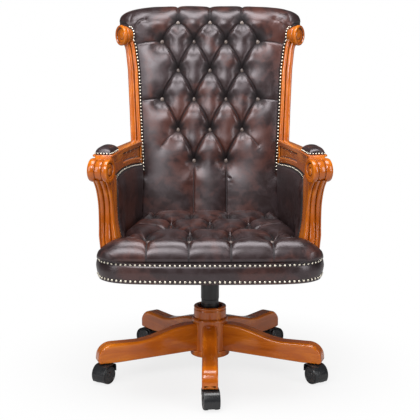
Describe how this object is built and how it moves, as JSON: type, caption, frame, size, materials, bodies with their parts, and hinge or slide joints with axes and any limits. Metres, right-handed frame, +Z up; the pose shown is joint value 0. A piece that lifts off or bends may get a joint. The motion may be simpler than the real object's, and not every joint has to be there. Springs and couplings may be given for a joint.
{
  "type": "executive office chair",
  "caption": "High-backed swivel chair with tufted leather seat and back, carved wooden arms and uprights, and a castered wooden star base",
  "frame": {"origin": "on the floor, on the axis of the gas lift", "axes": "+Z up, the sitter faces -Y, +X is the chair's own left"},
  "size_m": [0.7388, 0.7809, 1.1499],
  "materials": {
    "wood_base": "honey cherry lacquer, gloss",
    "wood_frame": "honey cherry lacquer with darker grooves, gloss",
    "raw_wood": "unfinished",
    "leather_tufted": "dark brown antique leather, rubbed, semi-gloss",
    "leather_plain": "dark brown antique leather, semi-gloss",
    "caster_plastic": "moulded black nylon, satin",
    "caster_tread": "moulded black nylon",
    "black_plastic": "moulded, satin",
    "black_steel": "black powder coat",
    "bright_steel": "machined",
    "nail_brass": "antique pale brass"
  },
  "bodies": {
    "base": {"base_hub": "wood_base", "hub_collar": "wood_base", "hub_sleeve": "bright_steel", "base_leg_front": "wood_base", "base_leg_right_front": "wood_base", "base_leg_right_rear": "wood_base", "base_leg_left_rear": "wood_base", "base_leg_left_front": "wood_base", "leg_dowels": "raw_wood", "caster_sockets": "bright_steel", "column_tube": "black_steel", "column_bushing": "black_plastic"},
    "rod": {"piston_rod": "bright_steel"},
    "column": {"gas_cylinder": "black_steel", "column_cover": "black_plastic", "tilt_housing": "black_steel", "pivot_pin": "bright_steel", "tilt_spring": "bright_steel"},
    "button": {"release_button": "bright_steel"},
    "lever": {"height_lever": "black_plastic"},
    "knob": {"tension_knob": "black_plastic"},
    "seat": {"seat_plate": "black_steel", "seat_bolts": "bright_steel", "seat_frame": "raw_wood", "seat_band": "leather_plain", "seat_cushion": "leather_tufted", "tuft_buttons": "leather_tufted", "back_board": "leather_plain", "back_cushion": "leather_tufted", "back_stile_left": "wood_frame", "back_stile_right": "wood_frame", "arm_post_left": "wood_frame", "arm_post_right": "wood_frame", "arm_rail_left": "wood_frame", "arm_rail_right": "wood_frame", "arm_pad_left": "leather_plain", "arm_pad_right": "leather_plain", "arm_panel_left": "leather_plain", "arm_panel_right": "leather_plain", "nail_trim": "nail_brass"},
    "caster_front": {"caster_front_housing": "caster_plastic", "caster_front_pins": "bright_steel"},
    "caster_front_wheel_left": {"caster_front_wheel_left": "caster_tread"},
    "caster_front_wheel_right": {"caster_front_wheel_right": "caster_tread"},
    "caster_right_front": {"caster_right_front_housing": "caster_plastic", "caster_right_front_pins": "bright_steel"},
    "caster_right_front_wheel_left": {"caster_right_front_wheel_left": "caster_tread"},
    "caster_right_front_wheel_right": {"caster_right_front_wheel_right": "caster_tread"},
    "caster_right_rear": {"caster_right_rear_housing": "caster_plastic", "caster_right_rear_pins": "bright_steel"},
    "caster_right_rear_wheel_left": {"caster_right_rear_wheel_left": "caster_tread"},
    "caster_right_rear_wheel_right": {"caster_right_rear_wheel_right": "caster_tread"},
    "caster_left_rear": {"caster_left_rear_housing": "caster_plastic", "caster_left_rear_pins": "bright_steel"},
    "caster_left_rear_wheel_left": {"caster_left_rear_wheel_left": "caster_tread"},
    "caster_left_rear_wheel_right": {"caster_left_rear_wheel_right": "caster_tread"},
    "caster_left_front": {"caster_left_front_housing": "caster_plastic", "caster_left_front_pins": "bright_steel"},
    "caster_left_front_wheel_left": {"caster_left_front_wheel_left": "caster_tread"},
    "caster_left_front_wheel_right": {"caster_left_front_wheel_right": "caster_tread"}
  },
  "joints": [
    {"name": "swivel", "type": "hinge", "parent": "base", "child": "rod", "pos_m": [0, 0, 0.1], "axis": [0, 0, 1], "continuous": true},
    {"name": "lift", "type": "slide", "parent": "rod", "child": "column", "axis": [0, 0, 1], "range_m": [0, 0.09]},
    {"name": "tilt", "type": "hinge", "parent": "column", "child": "seat", "pos_m": [0, -0.075, 0.343], "axis": [-1, 0, 0], "range_deg": [0, 12], "stiffness_Nm_per_rad": 180, "springref_deg": -22.92},
    {"name": "lever_pull", "type": "hinge", "parent": "column", "child": "lever", "pos_m": [0.05, 0, 0.3424], "axis": [0, -1, 0], "range_deg": [0, 4], "stiffness_Nm_per_rad": 2, "springref_deg": -5.73},
    {"name": "release_press", "type": "slide", "parent": "column", "child": "button", "axis": [0, 0, -1], "range_m": [0, 0.0035], "stiffness_N_per_m": 500, "springref_m": -0.002},
    {"name": "tension_turn", "type": "hinge", "parent": "column", "child": "knob", "pos_m": [0.08, -0.03, 0.339], "axis": [1, 0, 0], "range_deg": [0, 1080]},
    {"name": "caster_front_swivel", "type": "hinge", "parent": "base", "child": "caster_front", "pos_m": [0, -0.336, 0.06], "axis": [0, 0, 1], "continuous": true},
    {"name": "caster_front_wheel_left_roll", "type": "hinge", "parent": "caster_front", "child": "caster_front_wheel_left", "pos_m": [0.00306, -0.35779, 0.029], "axis": [0.9903, 0.1392, 0], "continuous": true},
    {"name": "caster_front_wheel_right_roll", "type": "hinge", "parent": "caster_front", "child": "caster_front_wheel_right", "pos_m": [0.00306, -0.35779, 0.029], "axis": [0.9903, 0.1392, 0], "continuous": true},
    {"name": "caster_right_front_swivel", "type": "hinge", "parent": "base", "child": "caster_right_front", "pos_m": [0.31955, -0.10383, 0.06], "axis": [0, 0, 1], "continuous": true},
    {"name": "caster_right_front_wheel_left_roll", "type": "hinge", "parent": "caster_right_front", "child": "caster_right_front_wheel_left", "pos_m": [0.33121, -0.12249, 0.029], "axis": [0.848, 0.5299, 0], "continuous": true},
    {"name": "caster_right_front_wheel_right_roll", "type": "hinge", "parent": "caster_right_front", "child": "caster_right_front_wheel_right", "pos_m": [0.33121, -0.12249, 0.029], "axis": [0.848, 0.5299, 0], "continuous": true},
    {"name": "caster_right_rear_swivel", "type": "hinge", "parent": "base", "child": "caster_right_rear", "pos_m": [0.1975, 0.27183, 0.06], "axis": [0, 0, 1], "continuous": true},
    {"name": "caster_right_rear_wheel_left_roll", "type": "hinge", "parent": "caster_right_rear", "child": "caster_right_rear_wheel_left", "pos_m": [0.21435, 0.28597, 0.029], "axis": [-0.6428, 0.766, 0], "continuous": true},
    {"name": "caster_right_rear_wheel_right_roll", "type": "hinge", "parent": "caster_right_rear", "child": "caster_right_rear_wheel_right", "pos_m": [0.21435, 0.28597, 0.029], "axis": [-0.6428, 0.766, 0], "continuous": true},
    {"name": "caster_left_rear_swivel", "type": "hinge", "parent": "base", "child": "caster_left_rear", "pos_m": [-0.1975, 0.27183, 0.06], "axis": [0, 0, 1], "continuous": true},
    {"name": "caster_left_rear_wheel_left_roll", "type": "hinge", "parent": "caster_left_rear", "child": "caster_left_rear_wheel_left", "pos_m": [-0.21435, 0.28597, 0.029], "axis": [-0.6428, -0.766, 0], "continuous": true},
    {"name": "caster_left_rear_wheel_right_roll", "type": "hinge", "parent": "caster_left_rear", "child": "caster_left_rear_wheel_right", "pos_m": [-0.21435, 0.28597, 0.029], "axis": [-0.6428, -0.766, 0], "continuous": true},
    {"name": "caster_left_front_swivel", "type": "hinge", "parent": "base", "child": "caster_left_front", "pos_m": [-0.31955, -0.10383, 0.06], "axis": [0, 0, 1], "continuous": true},
    {"name": "caster_left_front_wheel_left_roll", "type": "hinge", "parent": "caster_left_front", "child": "caster_left_front_wheel_left", "pos_m": [-0.33121, -0.12249, 0.029], "axis": [0.848, -0.5299, 0], "continuous": true},
    {"name": "caster_left_front_wheel_right_roll", "type": "hinge", "parent": "caster_left_front", "child": "caster_left_front_wheel_right", "pos_m": [-0.33121, -0.12249, 0.029], "axis": [0.848, -0.5299, 0], "continuous": true}
  ],
  "couplings": [
    {"joint": "release_press", "follows": "lever_pull", "m_per_rad": 0.05}
  ]
}
